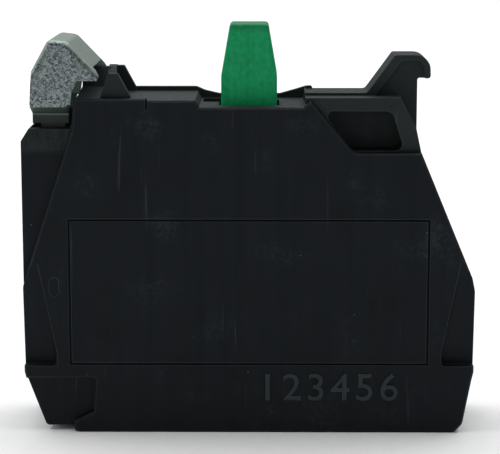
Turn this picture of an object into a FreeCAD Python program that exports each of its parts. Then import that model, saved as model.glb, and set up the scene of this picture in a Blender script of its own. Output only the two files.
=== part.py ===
import FreeCAD, Part
import math
import os

# Contact block (one normally open switching element) of a 22 mm panel push button.
# Millimetres. The rear face lies at z = 0, the plunger moves along Z, the cover faces -Y.

# --- driving dimensions ------------------------------------------------------------------
# housing
case_length = 40.4            # X, over both ends
case_thickness = 10.0         # Y, cover face to back face
seat_z = 30.05                # top surface that meets the mounting collar
shoulder_z = 27.5             # lower shoulder where the latch goes in
bridge_top_z = 29.4           # lowered middle of the top, round the plunger
side_step_z = 25.43           # top of the full-thickness part on the hook side
end_top_z = 26.4              # top of the flat left end
flank_z = 13.0                # where the sloping flanks become upright
base_corner_z = 5.0           # where the lower corners start to slope
floor = 1.4
back_wall = 1.2
end_wall = 1.2
top_wall = 1.2
cover_thickness = 1.2
cover_recess = 0.8            # housing surfaces beside the cover lie this much lower
cover_gap = 0.06              # seam round the cover
edge_break = 0.15

# cover details
label_margin = 4.1
label_low_z = 6.25
label_high_z = 19.55
label_groove = 0.2
label_groove_depth = 0.18
scoop_top_z = 15.7
scoop_low_z = 6.15
scoop_width = 2.95
scoop_depth = 1.0
peg_radius = 0.9
peg_boss_radius = 1.8
press_clearance = 0.04

# hook moulded on the housing
hook_width = 4.4
hook_top_z = 33.86
catch_z = 31.8
pocket_low_z = 25.55
pocket_depth = 1.1            # behind the front of the hook plate
hook_face_inset = 0.55
rim_thickness = 0.6           # low rims along the back of the top

# plunger
plunger_top_z = 36.6
plunger_tip_width = 3.4
plunger_width = 5.0
plunger_taper_z = 32.0        # the head narrows above this
plunger_depth = 4.0
plunger_flange = 1.1
plunger_stroke = 4.3
plunger_edge_radius = 0.35
guide_clearance = 0.2
flange_height = 1.0
cheek = 0.85

# contact system
bridge_length = 13.6
bridge_width = 3.2
bridge_thickness = 0.7
contact_gap = 2.7
tip_radius = 1.3
tip_height = 0.6
tip_inset = 1.4
strip_thickness = 1.0
strip_width = 3.8
strip_z = 10.4                # underside of the fixed contact strips

# terminals
terminal_inset = 5.6          # screw axis from the housing end
screw_diameter = 3.5
screw_length = 9.2
head_diameter = 5.5
head_height = 2.0
driver_hole_radius = 3.0
washer_thickness = 0.5
clamp_thickness = 1.0
clamp_width = 6.6
thread_clearance = 0.05
wire_mouth_width = 6.4
partition = 0.8

# latch
latch_sheet = 0.7
latch_top_z = 35.45
latch_knee_z = 29.8
latch_pivot_inset = 2.6       # pivot from the housing end
latch_pivot_z = 22.6
latch_pin_radius = 0.6
pin_clearance = 0.03
latch_arm_z = 20.6
latch_chamber_low_z = 19.8
latch_pocket_top_z = 26.0

# springs: mean radius, wire radius and turns
return_spring_radius = 1.85
return_spring_wire = 0.22
return_spring_turns = 8
contact_spring_radius = 1.15
contact_spring_wire = 0.16
contact_spring_turns = 6
latch_spring_radius = 0.95
latch_spring_wire = 0.15
latch_spring_turns = 6
spring_seat_gap = 0.03

# --- places worked out from them -----------------------------------------------------------
half = case_length / 2
plunger_room = plunger_width / 2 + plunger_flange + 0.6
hook_step_x = plunger_room + 0.8
dip_x = plunger_room + 0.2
front_y = -case_thickness / 2
back_y = case_thickness / 2
rim_y = front_y + cover_thickness
recess_y = front_y + cover_recess
cavity_back_y = back_y - back_wall
inner_end = half - end_wall
ceiling_z = bridge_top_z - top_wall + 0.1
terminal_x = half - terminal_inset
partition_x = terminal_x - clamp_width / 2 - 0.5 - partition
tip_x = bridge_length / 2 - tip_inset
strip_top_z = strip_z + strip_thickness
bridge_z = strip_top_z + tip_height + contact_gap + tip_height
spring_ceiling_z = bridge_z + bridge_thickness + 5.2
plunger_base_z = bridge_z - 1.6
seat_boss_z = floor + 0.8
stem_low_z = seat_boss_z + plunger_stroke + 1.7
head_z = floor + 0.5
washer_z = head_z + head_height
clamp_z = washer_z + washer_thickness + 0.05
clamp_depth = 2 * min(cavity_back_y, -rim_y) - 1.2
pivot_x = -half + latch_pivot_inset
hook_front_y = -hook_width / 2


# --- shape helpers ---------------------------------------------------------------------------
def vec(x, y, z):
    return FreeCAD.Vector(x, y, z)


def box(x0, x1, y0, y1, z0, z1):
    return Part.makeBox(x1 - x0, y1 - y0, z1 - z0, vec(x0, y0, z0))


def rod(x, y, z, radius, length, axis="Z"):
    directions = {"X": vec(1, 0, 0), "Y": vec(0, 1, 0), "Z": vec(0, 0, 1)}
    return Part.makeCylinder(radius, length, vec(x, y, z), directions[axis])


def outline(points):
    """Closed XZ face through (x, z) corners; a corner (x, z, r) is rounded with radius r."""
    count = len(points)
    edges = []
    starts = []
    for i in range(count):
        before, here, after = points[i - 1], points[i], points[(i + 1) % count]
        corner = vec(here[0], 0, here[1])
        radius = here[2] if len(here) > 2 else 0
        to_before = (vec(before[0], 0, before[1]) - corner).normalize()
        to_after = (vec(after[0], 0, after[1]) - corner).normalize()
        if radius == 0:
            starts.append((corner, corner, None))
            continue
        half_angle = to_before.getAngle(to_after) / 2
        cut = radius / math.tan(half_angle)
        middle = (to_before + to_after).normalize()
        centre = corner + middle * (radius / math.sin(half_angle))
        starts.append((corner + to_before * cut, corner + to_after * cut, centre - middle * radius))
    for i, (arrive, leave, top) in enumerate(starts):
        if top is not None:
            edges.append(Part.Arc(arrive, top, leave).toShape())
        edges.append(Part.LineSegment(leave, starts[(i + 1) % count][0]).toShape())
    return Part.Face(Part.Wire(edges))


def slab(face, y0, y1):
    moved = face.copy()
    moved.translate(vec(0, y0, 0))
    return moved.extrude(vec(0, y1 - y0, 0))


def mirrored(shape):
    return shape.mirror(vec(0, 0, 0), vec(1, 0, 0))


def fused(shapes):
    whole = shapes[0]
    for shape in shapes[1:]:
        whole = whole.fuse(shape)
    return whole.removeSplitter()


def coil(x, y, low, high, radius, wire, turns):
    height = high - low - 2 * wire
    helix = Part.makeLongHelix(height / turns, height, radius)
    section = Part.Wire(Part.makeCircle(wire, vec(radius, 0, 0), vec(0, 1, 0)))
    spring = Part.Wire(helix.Edges).makePipeShell([section], True, True)
    spring.translate(vec(x, y, low + wire))
    return spring


def save(shape, name):
    if len(shape.Solids) == 1:
        shape = shape.Solids[0]
    if not shape.isValid():
        raise ValueError(name + " is not a valid solid")
    shape.exportStep("parts/" + name + ".step")
    print(name, len(shape.Solids), round(shape.Volume, 2))


# --- housing ---------------------------------------------------------------------------------
def cover_outline():
    return outline([
        (-half + 5.1, 0.0),
        (-half + 4.45, 0.15),
        (-half + 4.45, 1.0),
        (-half + 6.2, 1.9, 0.2),
        (-half + 6.4, base_corner_z, 0.3),
        (-half + 0.15, base_corner_z),
        (-half, base_corner_z + 0.6),
        (-half, flank_z + 0.4, 1.5),
        (-half + 4.6, shoulder_z),
        (-half + 4.85, seat_z + 0.18),
        (-half + 11.2, seat_z + 0.18),
        (-half + 11.2, seat_z + 0.04),
        (-dip_x - 0.35, seat_z + 0.04),
        (-dip_x + 0.05, bridge_top_z + 0.08),
        (hook_step_x - 0.2, bridge_top_z + 0.08),
        (hook_step_x + 0.4, seat_z),
        (hook_step_x + 4.3, side_step_z, 0.9),
        (half - 4.95, side_step_z),
        (half - 0.25, flank_z + 1.2, 1.5),
        (half, flank_z, 1.5),
        (half, base_corner_z + 0.6),
        (half - 0.15, base_corner_z),
        (half - 0.95, 0.75, 0.8),
        (half - 1.7, 0.0),
    ])


def case_outline():
    return outline([
        (-half + 4.95, 0.0),
        (-half + 4.6, 0.45),
        (-half + 1.85, 0.45, 0.4),
        (-half + 0.15, base_corner_z),
        (-half, base_corner_z + 0.4),
        (-half, end_top_z, 0.4),
        (-half + 0.7, shoulder_z),
        (-half + 4.5, shoulder_z),
        (-half + 4.75, seat_z),
        (-dip_x - 0.35, seat_z),
        (-dip_x, bridge_top_z),
        (hook_step_x, bridge_top_z),
        (hook_step_x, side_step_z),
        (half - 4.95, side_step_z),
        (half - 0.3, flank_z + 1.2, 1.5),
        (half - 0.05, flank_z, 1.5),
        (half - 0.05, base_corner_z + 0.6),
        (half - 0.2, base_corner_z),
        (half - 1.0, 0.75, 0.8),
        (half - 1.75, 0.0),
    ])


def cavity_outline():
    return outline([
        (-half + 2.6, floor),
        (-inner_end, base_corner_z),
        (-inner_end, flank_z),
        (-half + 3.1, latch_chamber_low_z - partition),
        (-half + 8.0, latch_chamber_low_z - partition),
        (-half + 8.0, ceiling_z),
        (plunger_room, ceiling_z),
        (plunger_room, side_step_z - top_wall),
        (half - 5.9, side_step_z - top_wall),
        (inner_end - 0.1, flank_z),
        (inner_end - 0.1, base_corner_z),
        (half - 2.6, floor),
    ])


def hook_side():
    """Narrow upper part on the hook side: pocket block in front, hook plate behind it."""
    pocket_block = slab(outline([
        (hook_step_x, side_step_z - 1), (hook_step_x, seat_z + 0.21), (half - 6.8, seat_z + 0.21),
        (half - 5.4, shoulder_z), (half - 4.95, side_step_z), (half - 4.95, side_step_z - 1),
    ]), recess_y, hook_front_y + hook_face_inset)
    plate = slab(outline([
        (hook_step_x, side_step_z - 1), (hook_step_x, seat_z + 0.45), (half - 9.7, seat_z + 0.45, 0.5),
        (half - 7.25, hook_top_z, 0.3), (half - 4.1, hook_top_z, 1.3), (half - 4.05, catch_z, 0.25),
        (half - 5.2, catch_z, 0.2), (half - 5.2, side_step_z + 1.4), (half - 4.95, side_step_z),
        (half - 4.95, side_step_z - 1),
    ]), hook_front_y, -hook_front_y)
    sunk_face = slab(outline([
        (half - 9.05, side_step_z - 2), (half - 9.05, seat_z + 0.1), (half - 6.6, hook_top_z - 0.45, 0.2),
        (half - 4.65, hook_top_z - 0.45, 0.8), (half - 4.55, catch_z + 0.3, 0.1),
        (half - 4.55, catch_z - 1), (half - 3, catch_z - 1), (half - 3, side_step_z - 2),
    ]), hook_front_y - 1, hook_front_y + hook_face_inset)
    pocket = slab(outline([
        (hook_step_x + 1.5, seat_z - 0.95, 0.5), (half - 7.55, seat_z - 0.95, 0.8),
        (half - 6.45, pocket_low_z, 0.6), (hook_step_x + 4.1, pocket_low_z, 0.6),
    ]), front_y, hook_front_y + pocket_depth)
    return fused([pocket_block, plate.cut(sunk_face)]), pocket


def peg_places():
    low = partition_x - 2.6
    return [(-low, 4.2), (low, 4.2), (-half + 11.6, 23.0), (half - 11.6, 20.4)]


def make_case_body():
    upper, pocket = hook_side()
    shell = slab(case_outline(), recess_y, back_y)
    rim_edges = [e for e in shell.Edges
                 if abs(e.BoundBox.YMin - back_y) < 1e-6 and abs(e.BoundBox.YMax - back_y) < 1e-6]
    shell = shell.makeChamfer(edge_break * 2, rim_edges)
    shell = shell.cut(slab(cavity_outline(), front_y, cavity_back_y))
    body = fused([shell, upper]).cut(pocket)

    # wall behind the corner that the cover leaves free
    corner = outline([
        (-half + 2.5, 0.6), (-half + 5.0, 0.6), (-half + 6.9, 1.6), (-half + 6.9, base_corner_z + 0.5),
        (-inner_end - 0.3, base_corner_z + 0.5), (-inner_end - 0.3, base_corner_z),
    ])
    body = body.fuse(slab(corner, recess_y, rim_y + 0.2))

    # two upright tabs
    for y0 in (recess_y, back_y - 1.2):
        tab = slab(outline([
            (-half + 7.1, seat_z - 0.5), (-half + 7.1, seat_z + 0.3), (-half + 7.8, seat_z + 2.35, 0.15),
            (-half + 8.65, seat_z + 2.35, 0.15), (-half + 9.75, seat_z + 0.3), (-half + 9.75, seat_z - 0.5),
        ]), y0, y0 + 0.8)
        body = body.fuse(tab)

    # low rim along the back, dipping behind the plunger
    rim_back = back_y - 0.4
    rim = slab(outline([
        (-half + 9.6, ceiling_z), (-half + 9.6, seat_z + 0.4), (-dip_x - 0.5, seat_z + 0.4, 0.4),
        (-dip_x + 0.3, seat_z + 0.05, 0.6), (-plunger_width / 2 - 0.3, bridge_top_z + 0.4),
        (plunger_width / 2 + 0.3, bridge_top_z + 0.4), (hook_step_x - 0.6, seat_z + 0.2, 0.8),
        (hook_step_x + 0.2, seat_z + 0.45), (hook_step_x + 0.2, ceiling_z),
    ]), rim_back - rim_thickness, rim_back)
    body = body.fuse(rim)

    # floor under the latch nose, wall inside the hood and ramp beside the nose: (y, rise over the seat)
    ramp_back = back_y - 0.3
    inside_hood = back_y - 0.95
    nose_floor = ((recess_y, -0.05), (ramp_back - 2.1, 0.55), (ramp_back, 0.7))
    hood_wall = ((inside_hood - 1.65, 0.5), (inside_hood - 0.65, 2.3), (inside_hood, 2.3))
    side_ramp = ((ramp_back - 4.1, 0.3), (ramp_back - 1.1, 2.3), (ramp_back, 2.4))
    for x0, x1, rises in ((-half + 4.9, -half + 7.5, nose_floor), (-half + 4.9, -half + 7.5, hood_wall),
                          (-half + 7.25, -half + 8.0, side_ramp)):
        path = [vec(x0, rises[0][0], seat_z - 0.6)]
        path += [vec(x0, y, seat_z + rise) for y, rise in rises]
        path += [vec(x0, rises[-1][0], seat_z - 0.6), path[0]]
        body = body.fuse(Part.Face(Part.makePolygon(path)).extrude(vec(x1 - x0, 0, 0)))
    body = body.fuse(box(-half + 0.7, -half + 4.5, back_y - 0.8, back_y, shoulder_z - 1, shoulder_z + 0.8))
    nub = slab(outline([
        (hook_step_x - 0.1, seat_z - 0.6), (hook_step_x + 0.1, seat_z + 0.7, 0.2),
        (hook_step_x + 0.7, seat_z + 0.7, 0.2), (hook_step_x + 0.9, seat_z - 0.6),
    ]), -hook_front_y - 0.6, -hook_front_y)
    body = body.fuse(nub)

    # seat for the cover, with its seam
    seat = cover_outline().makeOffset2D(cover_gap)
    body = body.cut(slab(seat, front_y - 1, rim_y))

    # opening for the plunger and the slot beside it
    reach_x = plunger_width / 2 + guide_clearance
    reach_y = plunger_depth / 2 + guide_clearance
    body = body.cut(box(-reach_x, reach_x, -reach_y, reach_y, ceiling_z - 0.5, seat_z + 1))
    slot = box(-plunger_room, -reach_x + 0.1, 0.6, cavity_back_y - 0.1, ceiling_z - 0.5, seat_z)
    body = body.cut(slot)

    # chamber and spring pocket of the latch
    side = -rim_y - 0.6
    chamber = box(-half + 0.8, -half + 4.2, -side, side, latch_chamber_low_z, shoulder_z + 1)
    spring_pocket = box(-half + 0.8, -half + 7.2, -side, side, latch_chamber_low_z, latch_pocket_top_z)
    pin_seat = rod(pivot_x, -side - 0.4, latch_pivot_z, latch_pin_radius, 2 * side + 1.6, "Y")
    body = body.cut(chamber).cut(spring_pocket).cut(pin_seat)

    # partitions that hold the strips, and the boss under the return spring
    ribs = []
    for sign in (-1, 1):
        x0 = min(sign * partition_x, sign * (partition_x + partition))
        ribs.append(box(x0, x0 + partition, rim_y + 0.2, cavity_back_y + 0.1, floor - 0.1, strip_z))
        ribs.append(box(x0, x0 + partition, rim_y + 0.2, cavity_back_y + 0.1,
                        strip_top_z, latch_chamber_low_z))
    for x, z in peg_places():
        boss = rod(x, rim_y + 2.3, z, peg_boss_radius, cavity_back_y - rim_y - 2.2, "Y")
        ribs.append(boss)
    ribs.append(rod(0, 0, floor - 0.1, return_spring_radius - 0.5, seat_boss_z - floor + 0.1))
    body = fused([body] + ribs)
    for x, z in peg_places():
        body = body.cut(rod(x, rim_y, z, peg_radius + press_clearance,
                            cavity_back_y - rim_y - 0.6, "Y"))

    # wire mouths in the ends and driver holes in the floor
    mouth_low = clamp_z + clamp_thickness + 0.1
    mouth_high = strip_z - 0.1
    for sign in (-1, 1):
        x0 = min(sign * (inner_end - 0.3), sign * (half + 1))
        body = body.cut(box(x0, x0 + end_wall + 1.3, -wire_mouth_width / 2, wire_mouth_width / 2,
                            mouth_low, mouth_high))
        body = body.cut(rod(sign * terminal_x, 0, -1, driver_hole_radius, floor + 1.5))
    return body


def make_case_cover():
    plate = slab(cover_outline(), front_y, rim_y)
    outer_edges = [e for e in plate.Edges
                   if abs(e.BoundBox.YMin - front_y) < 1e-6 and abs(e.BoundBox.YMax - front_y) < 1e-6]
    plate = plate.makeChamfer(edge_break, outer_edges)

    # hairline frame of the label field
    label = half - label_margin
    outer = box(-label, label, front_y, front_y + label_groove_depth, label_low_z, label_high_z)
    g = label_groove
    inner = box(-label + g, label - g, front_y - 1, front_y + 1, label_low_z + g, label_high_z - g)
    plate = plate.cut(outer.cut(inner))

    # scoops that deepen towards the wire mouths
    wedge = Part.Face(Part.makePolygon([
        vec(0, front_y - 0.5, scoop_top_z + 0.01), vec(0, front_y, scoop_top_z),
        vec(0, front_y + scoop_depth, scoop_low_z), vec(0, front_y - 0.5, scoop_low_z),
        vec(0, front_y - 0.5, scoop_top_z + 0.01),
    ])).extrude(vec(2 * half, 0, 0))
    side = outline([
        (half - scoop_width + 1.65, scoop_top_z), (half + 1, scoop_top_z), (half + 1, scoop_low_z),
        (half - scoop_width, scoop_low_z, 0.4), (half - scoop_width, scoop_low_z + 1.3, 1.0),
    ])
    scoop = wedge.common(slab(side, front_y - 1, rim_y))
    plate = plate.cut(scoop).cut(mirrored(scoop))

    # small oval dent beside the label field
    dent_x = -half + 2.8
    for dent_z in (flank_z, flank_z + 0.4, flank_z + 0.8):
        plate = plate.cut(rod(dent_x, front_y - 1, dent_z, 0.45, 1.1, "Y"))

    # short nick in the top edge, and the pegs that snap into the housing
    plate = plate.cut(box(-half + 11.1, -half + 11.3, front_y - 1, front_y + 0.5, seat_z - 0.75, seat_z + 1))
    pegs = []
    for x, z in peg_places():
        pegs.append(rod(x, rim_y - 0.1, z, peg_radius, cavity_back_y - rim_y - 1.2, "Y"))
    return fused([plate] + pegs)


# --- plunger -----------------------------------------------------------------------------------
def make_plunger():
    w = plunger_width / 2
    d = plunger_depth / 2
    tip = plunger_tip_width / 2
    head = slab(outline([
        (-w, ceiling_z - 2), (-w, plunger_taper_z, 2.0), (-tip, plunger_top_z, 0.35),
        (tip, plunger_top_z, 0.35), (w, plunger_taper_z, 2.0), (w, ceiling_z - 2),
    ]), -d, d)
    # the rounding runs up the tapered sides and on over the top
    side_edges = [e for e in head.Edges
                  if e.BoundBox.YLength < 0.01 and e.BoundBox.ZLength > 3]
    head = head.makeFillet(plunger_edge_radius, side_edges)
    flange_top = ceiling_z - 0.15
    flange = box(-w - plunger_flange, w + plunger_flange, -d - 0.5, d + 0.5,
                 flange_top - flange_height, flange_top)
    inside = bridge_width / 2 + 0.3
    outside = inside + cheek
    cage = box(-w + 0.4, w - 0.4, -outside, outside, plunger_base_z, flange_top)
    window = box(-w - 1, w + 1, -inside, inside, bridge_z - 0.02, spring_ceiling_z)
    stem = rod(0, 0, stem_low_z, return_spring_radius - return_spring_wire - 0.6,
               plunger_base_z - stem_low_z + 0.1)
    foot = box(-w + 0.4, w - 0.4, -d, d, plunger_base_z, plunger_base_z + 0.5)
    return fused([head, flange, cage.cut(window), foot, stem])


# --- contact system ------------------------------------------------------------------------------
def make_bridge():
    strip = box(-bridge_length / 2, bridge_length / 2, -bridge_width / 2, bridge_width / 2,
                bridge_z, bridge_z + bridge_thickness)
    ends = [e for e in strip.Edges
            if e.BoundBox.ZLength > 0.1 and abs(abs(e.BoundBox.XMin) - bridge_length / 2) < 1e-6]
    strip = strip.makeFillet(0.8, ends)
    nub = rod(0, 0, bridge_z + bridge_thickness - 0.1, contact_spring_radius - contact_spring_wire - 0.2, 0.6)
    return fused([strip, nub])


def make_tip(x, low, rivet_up):
    """Silver alloy rivet: a slightly domed disc."""
    disc = rod(x, 0, low, tip_radius, tip_height)
    face_z = low if rivet_up else low + tip_height
    rim = [e for e in disc.Edges
           if abs(e.BoundBox.ZMin - face_z) < 1e-6 and abs(e.BoundBox.ZMax - face_z) < 1e-6]
    return disc.makeChamfer(0.15, rim)


def make_fixed_contact():
    inner = tip_x - tip_radius - 0.3
    narrow = box(inner, partition_x + partition + 0.2, -strip_width / 2, strip_width / 2,
                 strip_z, strip_top_z)
    broad = box(partition_x + partition + 0.1, inner_end - 0.3, -clamp_depth / 2, clamp_depth / 2,
                strip_z, strip_top_z)
    collar = rod(terminal_x, 0, strip_z, screw_diameter / 2 + 0.75, strip_thickness + 1.3)
    thread = rod(terminal_x, 0, strip_z - 1, screw_diameter / 2 + thread_clearance, strip_thickness + 4)
    return fused([narrow, broad, collar]).cut(thread)


def make_screw():
    head = rod(terminal_x, 0, head_z, head_diameter / 2, head_height)
    rim = [e for e in head.Edges if abs(e.BoundBox.ZMax - head_z) < 1e-6]
    head = head.makeChamfer(0.25, rim)
    shank = rod(terminal_x, 0, washer_z - 0.1, screw_diameter / 2, screw_length + 0.1)
    tip = [e for e in shank.Edges if abs(e.BoundBox.ZMin - (washer_z + screw_length)) < 1e-6]
    shank = shank.makeChamfer(0.4, tip)
    screw = fused([head, shank])
    slot = box(terminal_x - head_diameter, terminal_x + head_diameter, -0.4, 0.4, head_z - 1, head_z + 1.0)
    cross = box(terminal_x - 0.45, terminal_x + 0.45, -1.5, 1.5, head_z - 1, head_z + 1.2)
    return screw.cut(slot).cut(cross)


def make_washer():
    ring = rod(terminal_x, 0, washer_z, head_diameter / 2 - 0.1, washer_thickness)
    ring = ring.cut(rod(terminal_x, 0, washer_z - 1, screw_diameter / 2 + 0.1, 3))
    return ring.cut(box(terminal_x, terminal_x + head_diameter, -0.25, 0.25, washer_z - 1, washer_z + 2))


def make_clamp_plate():
    plate = box(terminal_x - clamp_width / 2, terminal_x + clamp_width / 2, -clamp_depth / 2,
                clamp_depth / 2, clamp_z, clamp_z + clamp_thickness)
    uprights = [e for e in plate.Edges if e.BoundBox.ZLength > clamp_thickness - 0.01]
    plate = plate.makeFillet(0.5, uprights)
    plate = plate.cut(rod(terminal_x, 0, clamp_z - 1, screw_diameter / 2 + 0.08, 4))
    for offset in (-2.6, -2.0, 2.0, 2.6):
        plate = plate.cut(box(terminal_x + offset - 0.12, terminal_x + offset + 0.12, -clamp_depth,
                              clamp_depth, clamp_z + clamp_thickness - 0.15, clamp_z + 5))
    return plate


# --- latch ------------------------------------------------------------------------------------------
def make_latch_hook():
    left = -half
    web_start_z = latch_top_z - 2.8
    side = outline([
        (left + 0.94, latch_knee_z - 0.1), (left + 1.1, web_start_z),
        (left + 2.64, latch_top_z, 0.7), (left + 4.3, latch_top_z - 0.2, 0.8),
        (left + 6.75, web_start_z + 0.05), (left + 7.05, catch_z + 0.35, 0.3),
        (left + 6.85, catch_z, 0.1), (left + 5.1, catch_z, 0.25), (left + 4.65, catch_z - 1.0),
        (left + 4.5, latch_knee_z - 0.1),
    ])
    reach = back_y - 0.1
    blank = slab(side, -reach, reach)
    web_edges = [e for e in blank.Edges
                 if e.BoundBox.ZMin > web_start_z - 0.01 and e.BoundBox.YLength < 1e-6]
    blank = blank.makeFillet(latch_sheet - 0.1, web_edges)
    inside_y = reach - latch_sheet
    hollow = slab(side.makeOffset2D(-latch_sheet), -inside_y, inside_y)
    mouth = box(left - 1, left + 9, -inside_y, inside_y, latch_knee_z - 1, web_start_z + 0.3)
    cap = blank.cut(hollow).cut(mouth)

    # each side plate steps inwards, then runs down into the housing
    leg_out = -rim_y - 0.8
    leg_in = leg_out - latch_sheet
    step = Part.Face(Part.makePolygon([
        vec(left + 0.96, -reach, latch_knee_z), vec(left + 0.96, -inside_y, latch_knee_z),
        vec(left + 0.96, -leg_in, latch_knee_z - 0.8), vec(left + 0.96, -leg_in, latch_knee_z - 1.95),
        vec(left + 0.96, -leg_out, latch_knee_z - 1.95), vec(left + 0.96, -leg_out, latch_knee_z - 1.05),
        vec(left + 0.96, -reach, latch_knee_z - 0.3), vec(left + 0.96, -reach, latch_knee_z),
    ])).extrude(vec(3.25, 0, 0))
    leg = box(left + 1.7, left + 3.9, -leg_out, -leg_in, latch_arm_z, latch_knee_z - 1.85)
    legs = [step, leg, step.mirror(vec(0, 0, 0), vec(0, 1, 0)), leg.mirror(vec(0, 0, 0), vec(0, 1, 0))]
    arm = box(left + 2.0, left + 6.8, -leg_out, leg_out, latch_arm_z, latch_arm_z + latch_sheet)
    hole = rod(pivot_x, back_y * -1, latch_pivot_z, latch_pin_radius + pin_clearance, 2 * back_y, "Y")
    return fused([cap] + legs + [arm]).cut(hole)


def make_latch_pin():
    side = -rim_y - 0.6
    return rod(pivot_x, -side - 0.35, latch_pivot_z, latch_pin_radius, 2 * side + 1.5, "Y")


# --- write every piece -----------------------------------------------------------------------------
os.makedirs("parts", exist_ok=True)

save(make_case_body(), "case_body")
save(make_case_cover(), "case_cover")
save(make_plunger(), "plunger")
save(make_bridge(), "contact_bridge")
save(make_latch_hook(), "latch_hook")
save(make_latch_pin(), "latch_pin")

right_side_pieces = {
    "bridge_tip": make_tip(tip_x, bridge_z - tip_height, True),
    "fixed_contact": make_fixed_contact(),
    "fixed_tip": make_tip(tip_x, strip_top_z, False),
    "terminal_screw": make_screw(),
    "lock_washer": make_washer(),
    "clamp_plate": make_clamp_plate(),
}
for name, shape in right_side_pieces.items():
    save(shape, name + "_right")
    save(mirrored(shape), name + "_left")

save(coil(0, 0, floor + spring_seat_gap, plunger_base_z - spring_seat_gap, return_spring_radius,
          return_spring_wire, return_spring_turns), "return_spring")
save(coil(0, 0, bridge_z + bridge_thickness + spring_seat_gap, spring_ceiling_z - spring_seat_gap,
          contact_spring_radius, contact_spring_wire, contact_spring_turns), "contact_spring")
save(coil(-half + 5.5, 0, latch_arm_z + latch_sheet + spring_seat_gap,
          latch_pocket_top_z - spring_seat_gap, latch_spring_radius, latch_spring_wire,
          latch_spring_turns), "latch_spring")
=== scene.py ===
import bmesh
import bpy
import math
from mathutils import Matrix, Vector


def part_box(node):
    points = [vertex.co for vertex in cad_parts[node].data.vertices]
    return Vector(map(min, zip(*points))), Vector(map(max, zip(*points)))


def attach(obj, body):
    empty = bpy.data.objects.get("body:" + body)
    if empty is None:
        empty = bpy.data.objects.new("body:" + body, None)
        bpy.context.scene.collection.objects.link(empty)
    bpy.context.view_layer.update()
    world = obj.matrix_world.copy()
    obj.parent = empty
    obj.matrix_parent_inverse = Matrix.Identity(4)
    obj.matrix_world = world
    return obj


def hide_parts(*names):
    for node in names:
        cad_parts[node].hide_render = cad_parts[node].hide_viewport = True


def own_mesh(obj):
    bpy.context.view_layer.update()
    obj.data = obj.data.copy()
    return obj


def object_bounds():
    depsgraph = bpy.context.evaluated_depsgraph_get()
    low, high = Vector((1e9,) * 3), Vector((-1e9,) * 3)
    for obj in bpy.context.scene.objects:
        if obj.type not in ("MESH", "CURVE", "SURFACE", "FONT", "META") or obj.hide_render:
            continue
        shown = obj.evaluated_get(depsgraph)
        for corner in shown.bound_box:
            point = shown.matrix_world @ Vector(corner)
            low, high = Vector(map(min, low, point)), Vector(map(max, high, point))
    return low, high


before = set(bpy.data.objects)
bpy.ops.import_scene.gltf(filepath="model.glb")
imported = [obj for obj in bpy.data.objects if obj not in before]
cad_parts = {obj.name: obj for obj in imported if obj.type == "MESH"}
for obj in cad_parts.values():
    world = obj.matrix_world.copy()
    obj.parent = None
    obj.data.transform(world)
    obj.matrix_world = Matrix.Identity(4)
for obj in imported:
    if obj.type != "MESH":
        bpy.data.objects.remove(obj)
cad_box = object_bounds()


# --- studio --------------------------------------------------------------------------------
# A pale matt paper floor under one wide overhead softbox and a lower one behind, so that level
# faces catch the light and upright faces stay dim. Weak ones in front and at the left fill in.
MM = 0.001
FLOOR_RADIUS = 3.0
PAPER_FIBRE_MM = 2


def linear(hex_colour):
    """sRGB hex colour as the linear RGBA that a shader takes."""
    channels = [int(hex_colour[i:i + 2], 16) / 255 for i in (1, 3, 5)]
    return [c / 12.92 if c <= 0.04045 else ((c + 0.055) / 1.055) ** 2.4 for c in channels] + [1.0]


def new_material(name):
    """An empty node material with its output node."""
    material = bpy.data.materials.new(name)
    material.use_nodes = True
    material.node_tree.nodes.clear()
    add_node(material, "ShaderNodeOutputMaterial", {"name": "output"})
    return material


def add_node(material, kind, settings=None, links=None):
    """A shader node: settings are its attributes or input values, links its inputs' sources."""
    node = material.node_tree.nodes.new(kind)
    for name, value in (settings or {}).items():
        if isinstance(name, str) and hasattr(node, name):
            setattr(node, name, value)
        else:
            node.inputs[name].default_value = value
    for name, source in (links or {}).items():
        material.node_tree.links.new(source, node.inputs[name])
    return node


def add_ramp(material, factor, *stops):
    """A colour ramp node with (position, hex colour) stops."""
    ramp = add_node(material, "ShaderNodeValToRGB", {}, {"Fac": factor})
    for stop, (position, colour) in zip(ramp.color_ramp.elements, stops):
        stop.position = position
        stop.color = linear(colour)
    return ramp.outputs["Color"]


def show(material, settings, links):
    """The finished Principled shader, joined to the material's output."""
    shader = add_node(material, "ShaderNodeBsdfPrincipled", settings, links)
    output = material.node_tree.nodes["output"]
    material.node_tree.links.new(shader.outputs["BSDF"], output.inputs["Surface"])


def new_piece(name, bm, material):
    """A mesh object at the origin from a finished bmesh."""
    mesh = bpy.data.meshes.new(name)
    bm.to_mesh(mesh)
    bm.free()
    piece = bpy.data.objects.new(name, mesh)
    bpy.context.scene.collection.objects.link(piece)
    mesh.materials.append(material)
    return piece


floor_paper = new_material("matt_studio_paper")
paper_point = add_node(floor_paper, "ShaderNodeTexCoord")
paper_fibre = add_node(floor_paper, "ShaderNodeTexNoise",
                       {"Scale": 1 / (PAPER_FIBRE_MM * MM), "Detail": 3.0},
                       {"Vector": paper_point.outputs["Object"]})
paper_tint = add_ramp(floor_paper, paper_fibre.outputs["Fac"], (0.3, "#f2f2f2"), (0.7, "#f5f5f5"))
show(floor_paper, {"Roughness": 0.9, "Specular IOR Level": 0.1}, {"Base Color": paper_tint})

bm = bmesh.new()
bmesh.ops.create_circle(bm, cap_ends=True, segments=96, radius=FLOOR_RADIUS)
bmesh.ops.translate(bm, verts=bm.verts, vec=(0, 0, cad_box[0][2]))
floor_disc = new_piece("floor_disc", bm, floor_paper)

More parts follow.
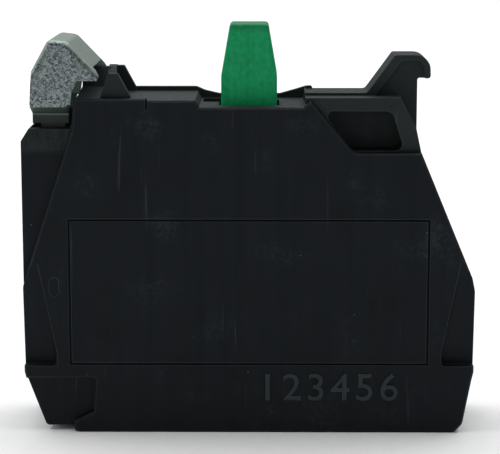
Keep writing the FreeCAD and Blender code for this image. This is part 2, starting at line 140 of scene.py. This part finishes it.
scene = bpy.context.scene
scene.view_settings.view_transform = "Standard"
scene.view_settings.look = "None"
scene.world = bpy.data.worlds.new("studio")
scene.world.use_nodes = True
room = scene.world.node_tree.nodes["Background"]
room.inputs["Color"].default_value = linear("#f4f8fa")
room.inputs["Strength"].default_value = 0.12


def softbox(name, place_mm, aim_mm, width_mm, height_mm, watts):
    """A rectangular area light at a place, facing the point it is aimed at."""
    lamp = bpy.data.lights.new(name, "AREA")
    lamp.shape = "RECTANGLE"
    lamp.size = width_mm * MM
    lamp.size_y = height_mm * MM
    lamp.energy = watts
    light = bpy.data.objects.new(name, lamp)
    light.location = Vector(place_mm) * MM
    facing = Vector(aim_mm) - Vector(place_mm)
    light.rotation_euler = facing.to_track_quat("-Z", "Y").to_euler()
    scene.collection.objects.link(light)


softbox("overhead_softbox", (0, 250, 1000), (0, 0, 0), 1800, 1200, 18)
softbox("back_softbox", (-100, 1100, 450), (0, 0, 20), 1600, 500, 1.6)
softbox("front_softbox", (-150, -900, 330), (0, 0, 20), 900, 500, 0.95)
softbox("left_softbox", (-900, 150, 420), (0, 0, 20), 600, 500, 2.2)

# The camera stands 166 mm in front of the block, a little above it, with a portrait lens.
CAMERA_PLACE_MM = (1.4, -166.2, 47.7)
CAMERA_YAW = math.radians(-0.46)
CAMERA_PITCH = math.radians(10.14)
camera_data = bpy.data.cameras.new("camera")
camera_data.lens = 133
camera_data.sensor_width = 36
camera_data.clip_start = 0.01
camera_data.clip_end = 20
camera = bpy.data.objects.new("camera", camera_data)
camera.location = Vector(CAMERA_PLACE_MM) * MM
forward = Vector((math.sin(CAMERA_YAW) * math.cos(CAMERA_PITCH),
                  math.cos(CAMERA_YAW) * math.cos(CAMERA_PITCH), -math.sin(CAMERA_PITCH)))
camera.rotation_euler = forward.to_track_quat("-Z", "Y").to_euler()
scene.collection.objects.link(camera)
scene.camera = camera


# --- housing and cover -----------------------------------------------------------------------
# Two injection mouldings of glass-filled black nylon: a tray and the plate pegged over it. A dry,
# slightly bluish black with fine eroded grain, faint flow streaks along Z, dust in patches, and
# thin painted highlights along the edges.
GRAIN_MM = 0.2              # real grain is 0.05 mm, drawn coarser so that it shows
GRAIN_HEIGHT_MM = 0.008
STREAK_WIDTH_MM = 0.6
STREAK_LENGTH_MM = 16
CLOUD_MM = 5
DUST_MM = 0.35
SPECK_SPACING_MM = 1.6
SPECK_RADIUS_MM = 0.08
SCRATCH_WIDTH_MM = 0.35
SCRATCH_NOISE_TURN = math.radians(24)    # turns the noise only, the lines stay upright
EDGE_ROUNDING_MM = 0.12
PAINTED_LIGHT_ABOVE_MM = 25.2
COVER_FACE_DEPTH_MM = 0.6
LABEL_GROOVE_DEPTH_MM = 0.18
LABEL_MIDDLE_Z_MM = 12.9
LABEL_HALF_WIDTH_MM = 16.6
LABEL_HALF_HEIGHT_MM = 6.8
cover_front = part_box("case_cover")[0].y

black_nylon = new_material("glass_filled_nylon_moulded")
nylon_point = add_node(black_nylon, "ShaderNodeTexCoord").outputs["Object"]
nylon_grain = add_node(black_nylon, "ShaderNodeTexNoise",
                       {"Scale": 1 / (GRAIN_MM * MM), "Detail": 2.0, "Roughness": 0.6},
                       {"Vector": nylon_point})
streak_space = add_node(black_nylon, "ShaderNodeMapping",
                        {"Scale": (1, 1, STREAK_WIDTH_MM / STREAK_LENGTH_MM)}, {"Vector": nylon_point})
nylon_streaks = add_node(black_nylon, "ShaderNodeTexNoise",
                         {"Scale": 1 / (STREAK_WIDTH_MM * MM), "Detail": 3.0},
                         {"Vector": streak_space.outputs["Vector"]})
nylon_clouds = add_node(black_nylon, "ShaderNodeTexNoise", {"Scale": 1 / (CLOUD_MM * MM), "Detail": 4.0},
                        {"Vector": nylon_point})
nylon_tone = add_node(black_nylon, "ShaderNodeMath", {"operation": "MULTIPLY_ADD", 1: 0.5},
                      {0: nylon_streaks.outputs["Fac"], 2: nylon_clouds.outputs["Fac"]})
nylon_mottle = add_node(black_nylon, "ShaderNodeMath", {"operation": "MULTIPLY_ADD", 1: 0.7},
                        {0: nylon_grain.outputs["Fac"], 2: nylon_tone.outputs["Value"]})
nylon_moulded = add_ramp(black_nylon, nylon_mottle.outputs["Value"], (0.75, "#05080b"), (1.5, "#12171b"))

# painted light: the hook and pocket, high up and back from the cover, are painted lighter, more grey and a
# little green, for the light that falls on them
nylon_place = add_node(black_nylon, "ShaderNodeSeparateXYZ", {}, {"Vector": nylon_point})
high_up = add_node(black_nylon, "ShaderNodeMapRange",
                   {"From Min": PAINTED_LIGHT_ABOVE_MM * MM, "From Max": (PAINTED_LIGHT_ABOVE_MM + 0.6) * MM},
                   {"Value": nylon_place.outputs["Z"]})
set_back = add_node(black_nylon, "ShaderNodeMapRange",
                    {"From Min": cover_front + COVER_FACE_DEPTH_MM * MM,
                     "From Max": cover_front + (COVER_FACE_DEPTH_MM + 0.2) * MM, "To Max": 0.75},
                    {"Value": nylon_place.outputs["Y"]})
painted_light_above = add_node(black_nylon, "ShaderNodeMath", {"operation": "MULTIPLY"},
                   {0: high_up.outputs["Result"], 1: set_back.outputs["Result"]})
painted_light_tone = add_ramp(black_nylon, nylon_mottle.outputs["Value"], (0.8, "#1a2021"), (1.5, "#2a3030"))
nylon_colour = add_node(black_nylon, "ShaderNodeMix", {"data_type": "RGBA"},
                        {"Factor": painted_light_above.outputs["Value"], "A": nylon_moulded,
                         "B": painted_light_tone}).outputs[2]

# settled dust: fine mottle that shows only inside the lighter clouds
dust_mottle = add_node(black_nylon, "ShaderNodeTexNoise", {"Scale": 1 / (DUST_MM * MM), "Detail": 4.0},
                       {"Vector": nylon_point})
dust_patch = add_node(black_nylon, "ShaderNodeMapRange", {"From Min": 0.56, "From Max": 0.72},
                      {"Value": nylon_clouds.outputs["Fac"]})
dust_fleck = add_node(black_nylon, "ShaderNodeMapRange",
                      {"From Min": 0.4, "From Max": 0.75, "To Max": 0.26},
                      {"Value": dust_mottle.outputs["Fac"]})
dust = add_node(black_nylon, "ShaderNodeMath", {"operation": "MULTIPLY"},
                {0: dust_patch.outputs["Result"], 1: dust_fleck.outputs["Result"]})
dusted = add_node(black_nylon, "ShaderNodeMix", {"data_type": "RGBA", "B": linear("#4b5154")},
                  {"Factor": dust.outputs["Value"], "A": nylon_colour})

# single specks: one cell in two holds a grain, each of its own size
speck_cells = add_node(black_nylon, "ShaderNodeTexVoronoi", {"Scale": 1 / (SPECK_SPACING_MM * MM)},
                       {"Vector": nylon_point})
speck_draw = add_node(black_nylon, "ShaderNodeSeparateColor", {}, {"Color": speck_cells.outputs["Color"]})
speck_reach = add_node(black_nylon, "ShaderNodeMapRange",
                       {"From Min": 0.5, "From Max": 1.0,
                        "To Max": SPECK_RADIUS_MM / SPECK_SPACING_MM},
                       {"Value": speck_draw.outputs["Red"]})
speck = add_node(black_nylon, "ShaderNodeMath", {"operation": "LESS_THAN"},
                 {0: speck_cells.outputs["Distance"], 1: speck_reach.outputs["Result"]})
speckled = add_node(black_nylon, "ShaderNodeMix", {"data_type": "RGBA", "B": linear("#565e61")},
                    {"Factor": speck.outputs["Value"], "A": dusted.outputs[2]})

# fine upright scratches, only where the noise peaks
scratch_space = add_node(black_nylon, "ShaderNodeMapping",
                         {"Rotation": (0, SCRATCH_NOISE_TURN, 0), "Scale": (1, 1, 0.05)},
                         {"Vector": nylon_point})
scratch_noise = add_node(black_nylon, "ShaderNodeTexNoise",
                         {"Scale": 1 / (SCRATCH_WIDTH_MM * MM), "Detail": 1.0},
                         {"Vector": scratch_space.outputs["Vector"]})
scratch_line = add_node(black_nylon, "ShaderNodeMapRange",
                        {"From Min": 0.72, "From Max": 0.8, "To Max": 0.22},
                        {"Value": scratch_noise.outputs["Fac"]})
scratched = add_node(black_nylon, "ShaderNodeMix", {"data_type": "RGBA", "B": linear("#4a5154")},
                     {"Factor": scratch_line.outputs["Result"], "A": speckled.outputs[2]})

# painted highlight: the raised number is lighter than the cover it stands on, for the light its relief
# catches
proud_painted_highlight = add_node(black_nylon, "ShaderNodeMapRange",
                 {"From Min": cover_front - 0.06 * MM, "From Max": cover_front - 0.14 * MM, "To Max": 0.6},
                 {"Value": nylon_place.outputs["Y"]})
number_highlighted = add_node(black_nylon, "ShaderNodeMix", {"data_type": "RGBA", "B": linear("#3c4346")},
                    {"Factor": proud_painted_highlight.outputs["Result"], "A": scratched.outputs[2]})

# painted shade: the hairline groove round the label field is darkened, for the shadow that falls inside it
label_groove = Vector((0, cover_front + (LABEL_GROOVE_DEPTH_MM + 0.02) * MM, LABEL_MIDDLE_Z_MM * MM))
label_offset = add_node(black_nylon, "ShaderNodeVectorMath", {"operation": "SUBTRACT", 1: label_groove},
                        {0: nylon_point})
label_reach = add_node(black_nylon, "ShaderNodeVectorMath", {"operation": "ABSOLUTE"},
                       {0: label_offset.outputs["Vector"]})
label_parts = add_node(black_nylon, "ShaderNodeSeparateXYZ", {}, {"Vector": label_reach.outputs["Vector"]})
near_x = add_node(black_nylon, "ShaderNodeMath", {"operation": "LESS_THAN", 1: LABEL_HALF_WIDTH_MM * MM},
                  {0: label_parts.outputs["X"]})
near_y = add_node(black_nylon, "ShaderNodeMath",
                  {"operation": "LESS_THAN", 1: (LABEL_GROOVE_DEPTH_MM + 0.01) * MM},
                  {0: label_parts.outputs["Y"]})
near_z = add_node(black_nylon, "ShaderNodeMath", {"operation": "LESS_THAN", 1: LABEL_HALF_HEIGHT_MM * MM},
                  {0: label_parts.outputs["Z"]})
near_xz = add_node(black_nylon, "ShaderNodeMath", {"operation": "MULTIPLY"},
                   {0: near_x.outputs["Value"], 1: near_z.outputs["Value"]})
groove_painted_shade = add_node(black_nylon, "ShaderNodeMath", {"operation": "MULTIPLY"},
                     {0: near_xz.outputs["Value"], 1: near_y.outputs["Value"]})

# painted highlight: edges are lightened where the rounded normal turns away from the face's own
rounded = add_node(black_nylon, "ShaderNodeBevel", {"samples": 6, "Radius": EDGE_ROUNDING_MM * MM})
face = add_node(black_nylon, "ShaderNodeNewGeometry")
edge_turn = add_node(black_nylon, "ShaderNodeVectorMath", {"operation": "DOT_PRODUCT"},
                     {0: rounded.outputs["Normal"], 1: face.outputs["True Normal"]})
edge_painted_highlight = add_node(black_nylon, "ShaderNodeMapRange",
                     {"From Min": 0.99, "From Max": 0.85, "To Max": 0.7},
                     {"Value": edge_turn.outputs["Value"]})
edge_highlighted = add_node(black_nylon, "ShaderNodeMix", {"data_type": "RGBA", "B": linear("#4a5255")},
                {"Factor": edge_painted_highlight.outputs["Result"], "A": number_highlighted.outputs[2]})
# painted shade in the label groove, laid over the painted edge highlights
groove_shaded = add_node(black_nylon, "ShaderNodeMix", {"data_type": "RGBA", "B": linear("#020304")},
                   {"Factor": groove_painted_shade.outputs["Value"], "A": edge_highlighted.outputs[2]})
nylon_roughness = add_node(black_nylon, "ShaderNodeMapRange",
                           {"From Min": 0.3, "From Max": 0.7, "To Min": 0.52, "To Max": 0.68},
                           {"Value": nylon_streaks.outputs["Fac"]})
nylon_bump = add_node(black_nylon, "ShaderNodeBump", {"Distance": GRAIN_HEIGHT_MM * MM},
                      {"Height": nylon_grain.outputs["Fac"], "Normal": rounded.outputs["Normal"]})
show(black_nylon, {"IOR": 1.5, "Specular IOR Level": 0.12},
     {"Base Color": groove_shaded.outputs[2], "Roughness": nylon_roughness.outputs["Result"],
      "Normal": nylon_bump.outputs["Normal"]})


def paint(material, *nodes):
    """Gives carried-over nodes their one material."""
    for name in nodes:
        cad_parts[name].data.materials.clear()
        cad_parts[name].data.materials.append(material)


paint(black_nylon, "case_body", "case_cover")


# --- moulded number on the cover ---------------------------------------------------------------
# A plain row of digits, raised by the mould insert below the label field. Same nylon as the
# cover, moulded in one with it.
NUMBER = "123456"
NUMBER_LEFT_MM = 1.5
NUMBER_WIDTH_MM = 11.9
NUMBER_LOW_MM = 3.0
NUMBER_HEIGHT_MM = 2.5
NUMBER_RELIEF_MM = 0.16

digits = bpy.data.curves.new("digits", "FONT")
digits.body = NUMBER
digits.extrude = 0.05
digits.bevel_depth = 0.03
digits.space_character = 1.2
digits.offset = -0.025
digit_text = bpy.data.objects.new("digit_text", digits)
scene.collection.objects.link(digit_text)
bpy.context.view_layer.update()
bm = bmesh.new()
bm.from_mesh(digit_text.to_mesh())
digit_text.to_mesh_clear()
bpy.data.objects.remove(digit_text)
bmesh.ops.remove_doubles(bm, verts=bm.verts, dist=1e-5)
low = Vector([min(v.co[i] for v in bm.verts) for i in range(3)])
high = Vector([max(v.co[i] for v in bm.verts) for i in range(3)])
bmesh.ops.translate(bm, verts=bm.verts, vec=-low)
bmesh.ops.scale(bm, verts=bm.verts, vec=(NUMBER_WIDTH_MM * MM / (high.x - low.x),
                                         NUMBER_HEIGHT_MM * MM / (high.y - low.y),
                                         2 * NUMBER_RELIEF_MM * MM / (high.z - low.z)))
bmesh.ops.rotate(bm, verts=bm.verts, matrix=Matrix.Rotation(math.radians(90), 3, "X"))
bmesh.ops.translate(bm, verts=bm.verts, vec=(NUMBER_LEFT_MM * MM, cover_front + NUMBER_RELIEF_MM * MM,
                                             NUMBER_LOW_MM * MM))
moulded_number = new_piece("moulded_number", bm, black_nylon)
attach(moulded_number, "case")


# --- plunger ---------------------------------------------------------------------------------
# The green follower that the push button head presses. Unfilled moulded nylon: satin, a little
# translucent, with fine draw lines along the way it leaves its mould and a hair of flash.
DRAW_LINE_MM = 0.25
DRAW_LINE_LENGTH_MM = 9
GREEN_MOTTLE_MM = 0.5
FLASH_WIDTH_MM = 0.09
FLASH_HEIGHT_MM = 0.03
FLASH_LENGTH_MM = 6.4
FLASH_MIDDLE_BELOW_TOP_MM = 3.75
PLUNGER_FACE_Y_MM = -2.0

green_nylon = new_material("green_nylon_moulded")
green_point = add_node(green_nylon, "ShaderNodeTexCoord").outputs["Object"]
draw_space = add_node(green_nylon, "ShaderNodeMapping",
                      {"Scale": (1, 1, DRAW_LINE_MM / DRAW_LINE_LENGTH_MM)}, {"Vector": green_point})
draw_lines = add_node(green_nylon, "ShaderNodeTexNoise", {"Scale": 1 / (DRAW_LINE_MM * MM), "Detail": 3.0},
                      {"Vector": draw_space.outputs["Vector"]})
green_cloud = add_node(green_nylon, "ShaderNodeTexNoise",
                       {"Scale": 1 / (GREEN_MOTTLE_MM * MM), "Detail": 4.0},
                       {"Vector": green_point})
green_tone = add_node(green_nylon, "ShaderNodeMath", {"operation": "MULTIPLY_ADD", 1: 0.6},
                      {0: draw_lines.outputs["Fac"], 2: green_cloud.outputs["Fac"]})
green_colour = add_ramp(green_nylon, green_tone.outputs["Value"], (0.6, "#008850"), (1.0, "#039e62"))
# painted shade darkens the top, where the overhead light falls strongest, and painted light brightens the
# green below the taper
green_place = add_node(green_nylon, "ShaderNodeSeparateXYZ", {}, {"Vector": green_point})
plunger_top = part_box("plunger")[1].z
top_painted_shade = add_node(green_nylon, "ShaderNodeMapRange",
                   {"From Min": plunger_top - 0.8 * MM, "From Max": plunger_top - 0.2 * MM,
                    "To Min": 1.0, "To Max": 0.62}, {"Value": green_place.outputs["Z"]})
below_taper_painted_light = add_node(green_nylon, "ShaderNodeMapRange",
                 {"From Min": plunger_top - 3.4 * MM, "From Max": plunger_top - 6.4 * MM,
                  "To Min": 1.0, "To Max": 1.35}, {"Value": green_place.outputs["Z"]})
green_painted_light = add_node(green_nylon, "ShaderNodeMath", {"operation": "MULTIPLY"},
                       {0: top_painted_shade.outputs["Result"], 1: below_taper_painted_light.outputs["Result"]})
green_painted_lit = add_node(green_nylon, "ShaderNodeHueSaturation", {},
                      {"Color": green_colour, "Value": green_painted_light.outputs["Value"]})
green_round = add_node(green_nylon, "ShaderNodeBevel", {"samples": 6, "Radius": 0.1 * MM})
green_bump = add_node(green_nylon, "ShaderNodeBump", {"Distance": 0.012 * MM},
                      {"Height": green_tone.outputs["Value"], "Normal": green_round.outputs["Normal"]})
show(green_nylon, {"Roughness": 0.5, "IOR": 1.53, "Specular IOR Level": 0.18, "Subsurface Weight": 0.05,
                   "Subsurface Radius": (0.2, 0.6, 0.3), "Subsurface Scale": 0.5 * MM},
     {"Base Color": green_painted_lit.outputs["Color"], "Normal": green_bump.outputs["Normal"]})
paint(green_nylon, "plunger")


bm = bmesh.new()
bmesh.ops.create_cube(bm, size=1.0)
bmesh.ops.scale(bm, verts=bm.verts,
                vec=(FLASH_WIDTH_MM * MM, 2 * FLASH_HEIGHT_MM * MM, FLASH_LENGTH_MM * MM))
bmesh.ops.bevel(bm, geom=bm.edges[:], offset=0.02 * MM, offset_type="OFFSET", segments=2,
                profile=0.5, affect="EDGES", material=-1)
bmesh.ops.translate(bm, verts=bm.verts, vec=(-0.1 * MM, PLUNGER_FACE_Y_MM * MM,
                                             plunger_top - FLASH_MIDDLE_BELOW_TOP_MM * MM))
plunger_flash = new_piece("plunger_flash_line", bm, green_nylon)
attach(plunger_flash, "plunger")


# --- latch -----------------------------------------------------------------------------------
# A hood folded from 0.7 mm spring steel and zinc plated. The side plates show the mottled
# spangle of the plating, the web over the top is smooth and slightly green, and painted shade
# darkens the metal past the bend where the legs go into the housing.
SPANGLE_MM = 0.14
SPANGLE_HEIGHT_MM = 0.02
SIDE_PLATE_Y_MM = 4.55
ROOT_BELOW_TOP_MM = 6.45

zinc_plate = new_material("zinc_plated_spring_steel")
zinc_point = add_node(zinc_plate, "ShaderNodeTexCoord").outputs["Object"]
zinc_warp = add_node(zinc_plate, "ShaderNodeTexNoise", {"Scale": 1 / (0.4 * MM), "Detail": 3.0},
                     {"Vector": zinc_point})
zinc_shift = add_node(zinc_plate, "ShaderNodeVectorMath", {"operation": "MULTIPLY_ADD", 1: (0.5 * MM,) * 3},
                      {0: zinc_warp.outputs["Color"], 2: zinc_point})
spangle = add_node(zinc_plate, "ShaderNodeTexVoronoi", {"Scale": 1 / (SPANGLE_MM * MM)},
                   {"Vector": zinc_shift.outputs["Vector"]})
crystal = add_node(zinc_plate, "ShaderNodeSeparateColor", {}, {"Color": spangle.outputs["Color"]})
zinc_place = add_node(zinc_plate, "ShaderNodeSeparateXYZ", {}, {"Vector": zinc_point})
from_middle = add_node(zinc_plate, "ShaderNodeMath", {"operation": "ABSOLUTE"},
                       {0: zinc_place.outputs["Y"]})
on_plate = add_node(zinc_plate, "ShaderNodeMapRange",
                    {"From Min": SIDE_PLATE_Y_MM * MM, "From Max": (SIDE_PLATE_Y_MM + 0.3) * MM},
                    {"Value": from_middle.outputs["Value"]})
plate_colour = add_ramp(zinc_plate, crystal.outputs["Red"], (0.0, "#3e4648"), (1.0, "#959f9f"))
zinc_colour = add_node(zinc_plate, "ShaderNodeMix", {"data_type": "RGBA", "A": linear("#849289")},
                       {"Factor": on_plate.outputs["Result"], "B": plate_colour})
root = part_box("latch_hook")[1].z - ROOT_BELOW_TOP_MM * MM
# painted shade: the legs below the bend are darkened, for the shadow inside the housing
root_painted_shade = add_node(zinc_plate, "ShaderNodeMapRange",
                      {"From Min": root, "From Max": root - 0.4 * MM, "To Max": 0.9},
                      {"Value": zinc_place.outputs["Z"]})
zinc_painted_shade = add_node(zinc_plate, "ShaderNodeMix", {"data_type": "RGBA", "B": linear("#1c2022")},
                         {"Factor": root_painted_shade.outputs["Result"], "A": zinc_colour.outputs[2]})
zinc_roughness = add_node(zinc_plate, "ShaderNodeMapRange", {"To Min": 0.36, "To Max": 0.56},
                          {"Value": crystal.outputs["Green"]})
zinc_relief = add_node(zinc_plate, "ShaderNodeMath", {"operation": "MULTIPLY"},
                       {0: spangle.outputs["Distance"], 1: on_plate.outputs["Result"]})
zinc_round = add_node(zinc_plate, "ShaderNodeBevel", {"samples": 6, "Radius": 0.12 * MM})
zinc_bump = add_node(zinc_plate, "ShaderNodeBump", {"Distance": SPANGLE_HEIGHT_MM * MM},
                     {"Height": zinc_relief.outputs["Value"], "Normal": zinc_round.outputs["Normal"]})
show(zinc_plate, {"Metallic": 1.0},
     {"Base Color": zinc_painted_shade.outputs[2], "Roughness": zinc_roughness.outputs["Result"],
      "Normal": zinc_bump.outputs["Normal"]})
paint(zinc_plate, "latch_hook")


# --- latch pin, terminal screws, washers and clamps ----------------------------------------------
# Turned and stamped steel, bright zinc plated: a clean bluish grey with fine turning lines and
# a slightly uneven lustre.
bright_zinc = new_material("bright_zinc_plated_steel")
bright_point = add_node(bright_zinc, "ShaderNodeTexCoord").outputs["Object"]
turning_space = add_node(bright_zinc, "ShaderNodeMapping", {"Scale": (1, 1, 8)}, {"Vector": bright_point})
turning = add_node(bright_zinc, "ShaderNodeTexNoise", {"Scale": 1 / (0.8 * MM), "Detail": 4.0},
                   {"Vector": turning_space.outputs["Vector"]})
bright_colour = add_ramp(bright_zinc, turning.outputs["Fac"], (0.35, "#9da3a6"), (0.65, "#c3c8c9"))
bright_roughness = add_node(bright_zinc, "ShaderNodeMapRange", {"To Min": 0.26, "To Max": 0.42},
                            {"Value": turning.outputs["Fac"]})
bright_round = add_node(bright_zinc, "ShaderNodeBevel", {"samples": 6, "Radius": 0.08 * MM})
bright_bump = add_node(bright_zinc, "ShaderNodeBump", {"Distance": 0.004 * MM},
                       {"Height": turning.outputs["Fac"], "Normal": bright_round.outputs["Normal"]})
show(bright_zinc, {"Metallic": 1.0},
     {"Base Color": bright_colour, "Roughness": bright_roughness.outputs["Result"],
      "Normal": bright_bump.outputs["Normal"]})
paint(bright_zinc, "latch_pin", "terminal_screw_left", "terminal_screw_right", "lock_washer_left",
      "lock_washer_right", "clamp_plate_left", "clamp_plate_right")


# --- contacts ------------------------------------------------------------------------------------
# Fixed strips and the moving bridge, stamped from brass strip, with rolling marks along X and
# a little tarnish. The tips are riveted silver alloy: pale, satin, faintly yellow.
rolled_brass = new_material("rolled_brass_strip")
brass_point = add_node(rolled_brass, "ShaderNodeTexCoord").outputs["Object"]
rolling_space = add_node(rolled_brass, "ShaderNodeMapping", {"Scale": (0.05, 1, 1)},
                         {"Vector": brass_point})
rolling = add_node(rolled_brass, "ShaderNodeTexNoise", {"Scale": 1 / (0.12 * MM), "Detail": 3.0},
                   {"Vector": rolling_space.outputs["Vector"]})
tarnish = add_node(rolled_brass, "ShaderNodeTexNoise", {"Scale": 1 / (2.5 * MM), "Detail": 5.0},
                   {"Vector": brass_point})
brass_colour = add_ramp(rolled_brass, tarnish.outputs["Fac"], (0.35, "#a98443"), (0.65, "#d3b066"))
brass_bump = add_node(rolled_brass, "ShaderNodeBump", {"Distance": 0.003 * MM},
                      {"Height": rolling.outputs["Fac"]})
brass_roughness = add_node(rolled_brass, "ShaderNodeMapRange", {"To Min": 0.22, "To Max": 0.42},
                           {"Value": rolling.outputs["Fac"]})
show(rolled_brass, {"Metallic": 1.0},
     {"Base Color": brass_colour, "Roughness": brass_roughness.outputs["Result"],
      "Normal": brass_bump.outputs["Normal"]})
paint(rolled_brass, "contact_bridge", "fixed_contact_left", "fixed_contact_right")

silver_alloy = new_material("silver_alloy_rivet")
silver_point = add_node(silver_alloy, "ShaderNodeTexCoord").outputs["Object"]
silver_cloud = add_node(silver_alloy, "ShaderNodeTexNoise", {"Scale": 1 / (0.6 * MM), "Detail": 4.0},
                        {"Vector": silver_point})
silver_colour = add_ramp(silver_alloy, silver_cloud.outputs["Fac"], (0.35, "#c9c6bb"), (0.65, "#e6e4db"))
silver_roughness = add_node(silver_alloy, "ShaderNodeMapRange", {"To Min": 0.3, "To Max": 0.48},
                            {"Value": silver_cloud.outputs["Fac"]})
show(silver_alloy, {"Metallic": 1.0},
     {"Base Color": silver_colour, "Roughness": silver_roughness.outputs["Result"]})
paint(silver_alloy, "bridge_tip_left", "bridge_tip_right", "fixed_tip_left", "fixed_tip_right")


# --- springs -----------------------------------------------------------------------------------
# Three cold-coiled compression springs of hard-drawn stainless wire with closed end turns. The
# wire shows lengthwise draw marks and a slight straw tint.
END_TURNS = 1.0
WIRE_SIDES = 12
STEPS_PER_TURN = 32

drawn_wire = new_material("drawn_spring_wire")
wire_point = add_node(drawn_wire, "ShaderNodeTexCoord").outputs["Object"]
wire_marks = add_node(drawn_wire, "ShaderNodeTexNoise", {"Scale": 1 / (0.15 * MM), "Detail": 3.0},
                      {"Vector": wire_point})
wire_colour = add_ramp(drawn_wire, wire_marks.outputs["Fac"], (0.3, "#8f8b84"), (0.7, "#b9b5ad"))
wire_roughness = add_node(drawn_wire, "ShaderNodeMapRange", {"To Min": 0.22, "To Max": 0.4},
                          {"Value": wire_marks.outputs["Fac"]})
show(drawn_wire, {"Metallic": 1.0},
     {"Base Color": wire_colour, "Roughness": wire_roughness.outputs["Result"]})


def wind_spring(name, node, wire_mm, turns, body):
    """A spring with closed ends wound in the box of its CAD node, attached to its body."""
    low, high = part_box(node)
    wire = wire_mm * MM
    axis = (low + high) / 2
    radius = (high.x - low.x) / 2 - wire
    closed_pitch = 2.04 * wire
    open_pitch = (high.z - low.z - 2 * wire - 2 * END_TURNS * closed_pitch) / (turns - 2 * END_TURNS)
    bm = bmesh.new()
    section = bmesh.ops.create_circle(bm, cap_ends=False, segments=WIRE_SIDES, radius=wire)["verts"]
    bmesh.ops.rotate(bm, verts=section, matrix=Matrix.Rotation(math.radians(90), 3, "X"))
    bmesh.ops.translate(bm, verts=section, vec=(axis.x + radius, axis.y, low.z + wire))
    first_ring = bm.edges[:]
    ring = section + first_ring
    for count, pitch in ((END_TURNS, closed_pitch), (turns - 2 * END_TURNS, open_pitch),
                         (END_TURNS, closed_pitch)):
        steps = round(count * STEPS_PER_TURN)
        ring = bmesh.ops.spin(bm, geom=ring, cent=(axis.x, axis.y, 0), axis=(0, 0, 1),
                              angle=math.tau * count, steps=steps,
                              dvec=(0, 0, pitch * count / steps))["geom_last"]
    last_ring = [e for e in ring if isinstance(e, bmesh.types.BMEdge)]
    bmesh.ops.contextual_create(bm, geom=first_ring)
    bmesh.ops.contextual_create(bm, geom=last_ring)
    bmesh.ops.recalc_face_normals(bm, faces=bm.faces)
    for face in bm.faces:
        face.smooth = len(face.verts) == 4
    spring = new_piece(name, bm, drawn_wire)
    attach(spring, body)
    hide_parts(node)
    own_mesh(spring)


wind_spring("return_spring_wound", "return_spring", 0.22, 8.5, "case")
wind_spring("contact_spring_wound", "contact_spring", 0.16, 6.5, "plunger")
wind_spring("latch_spring_wound", "latch_spring", 0.15, 6.5, "case")
